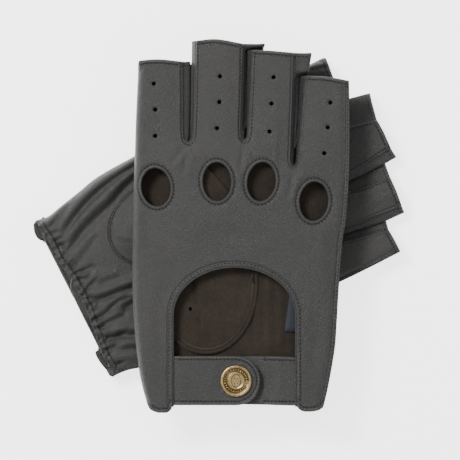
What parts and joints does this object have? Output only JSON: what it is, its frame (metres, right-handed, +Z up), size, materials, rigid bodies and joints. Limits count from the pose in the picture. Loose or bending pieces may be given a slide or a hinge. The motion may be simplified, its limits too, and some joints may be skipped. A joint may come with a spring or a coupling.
{
  "type": "fingerless driving gloves",
  "caption": "Pair of fingerless leather driving gloves with knuckle holes, a keyhole back opening and a snap strap at each wrist, lying crossed.",
  "frame": {"origin": "centre of the pair's footprint, on the surface it lies on", "axes": "+Z up off the surface; +Y towards the right glove's fingertips; +X towards its little finger"},
  "size_m": [0.1806, 0.1758, 0.0301],
  "materials": {
    "leather": "satin fine-grain charcoal nappa",
    "suede": "matte brown flesh side",
    "elastic": "matte woven band",
    "brass": "antique brass",
    "label": "matte woven"
  },
  "bodies": {
    "left_glove": {"left_trank": "leather", "left_fourchette_index": "leather", "left_fourchette_middle": "leather", "left_fourchette_ring": "leather", "left_thumb_stall": "leather", "left_thumb_gusset": "suede", "left_opening_binding": "leather", "left_knuckle_facings": "leather", "left_cuff_hem": "leather", "left_wrist_elastic": "elastic", "left_stud_tab": "leather", "left_snap_stud": "brass", "left_snap_post": "brass"},
    "right_glove": {"right_trank": "leather", "right_fourchette_index": "leather", "right_fourchette_middle": "leather", "right_fourchette_ring": "leather", "right_thumb_stall": "leather", "right_thumb_gusset": "suede", "right_opening_binding": "leather", "right_knuckle_facings": "leather", "right_cuff_hem": "leather", "right_wrist_elastic": "elastic", "right_stud_tab": "leather", "right_snap_stud": "brass", "right_snap_post": "brass", "right_size_label": "label"},
    "left_strap": {"left_strap": "leather", "left_strap_lining": "leather", "left_snap_cap": "brass", "left_snap_socket": "brass", "left_snap_spring": "brass"},
    "right_strap": {"right_strap": "leather", "right_strap_lining": "leather", "right_snap_cap": "brass", "right_snap_socket": "brass", "right_snap_spring": "brass"}
  },
  "joints": [
    {"name": "right_glove_lift", "type": "slide", "parent": "left_glove", "child": "right_glove", "axis": [0, 0, 1], "range_m": [0, 0.06]},
    {"name": "right_strap_open", "type": "hinge", "parent": "right_glove", "child": "right_strap", "pos_m": [-0.0203, -0.0728, 0.0282], "axis": [0, -1, 0], "range_deg": [0, 88]},
    {"name": "left_strap_open", "type": "hinge", "parent": "left_glove", "child": "left_strap", "pos_m": [-0.07271, -0.00306, 0.0019], "axis": [0.891, 0.454, 0], "range_deg": [0, 88]}
  ]
}
